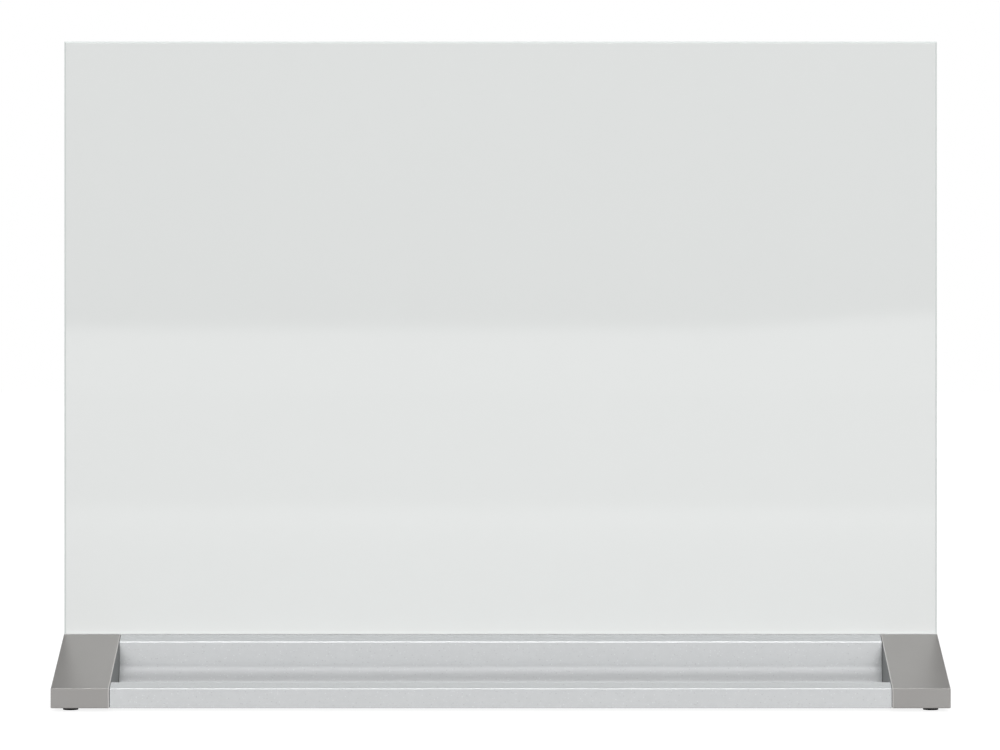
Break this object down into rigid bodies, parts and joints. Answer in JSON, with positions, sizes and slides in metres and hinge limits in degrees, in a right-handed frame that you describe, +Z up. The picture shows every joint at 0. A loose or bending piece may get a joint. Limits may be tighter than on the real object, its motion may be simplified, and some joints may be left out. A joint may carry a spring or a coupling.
{
  "type": "magnetic desk whiteboard",
  "caption": "Glass magnetic whiteboard standing upright in the slot of a wedge-shaped desk base with a full-length pen trough between moulded end caps.",
  "frame": {"origin": "on the desk, under the middle of the base", "axes": "+X to the writer's right along the board, +Y away from the writer, +Z up"},
  "size_m": [0.41, 0.094, 0.31],
  "materials": {
    "tempered_glass": "polished, ground edges",
    "white_coating": "even white film",
    "coated_steel": "light grey coated sheet",
    "anodised_aluminium": "bead blasted, clear anodised",
    "grey_plastic": "fine moulded texture",
    "dark_plastic": "moulded",
    "grey_rubber": "extruded strip",
    "black_rubber": "moulded",
    "screw_steel": "zinc plated"
  },
  "bodies": {
    "base": {"tray_extrusion": "anodised_aluminium", "front_gasket": "grey_rubber", "rear_gasket": "grey_rubber", "left_setting_block": "black_rubber", "right_setting_block": "black_rubber", "left_end_cap": "grey_plastic", "right_end_cap": "grey_plastic", "left_cover_plate": "dark_plastic", "right_cover_plate": "dark_plastic", "left_cover_screws": "screw_steel", "right_cover_screws": "screw_steel", "left_tray_screws": "screw_steel", "right_tray_screws": "screw_steel", "front_left_foot": "black_rubber", "front_right_foot": "black_rubber", "rear_left_foot": "black_rubber", "rear_right_foot": "black_rubber"},
    "board": {"glass_panel": "tempered_glass", "white_film": "white_coating", "steel_backing": "coated_steel"}
  },
  "joints": [
    {"name": "board_lift", "type": "slide", "parent": "base", "child": "board", "axis": [0, 0, 1], "range_m": [0, 0.025]}
  ]
}
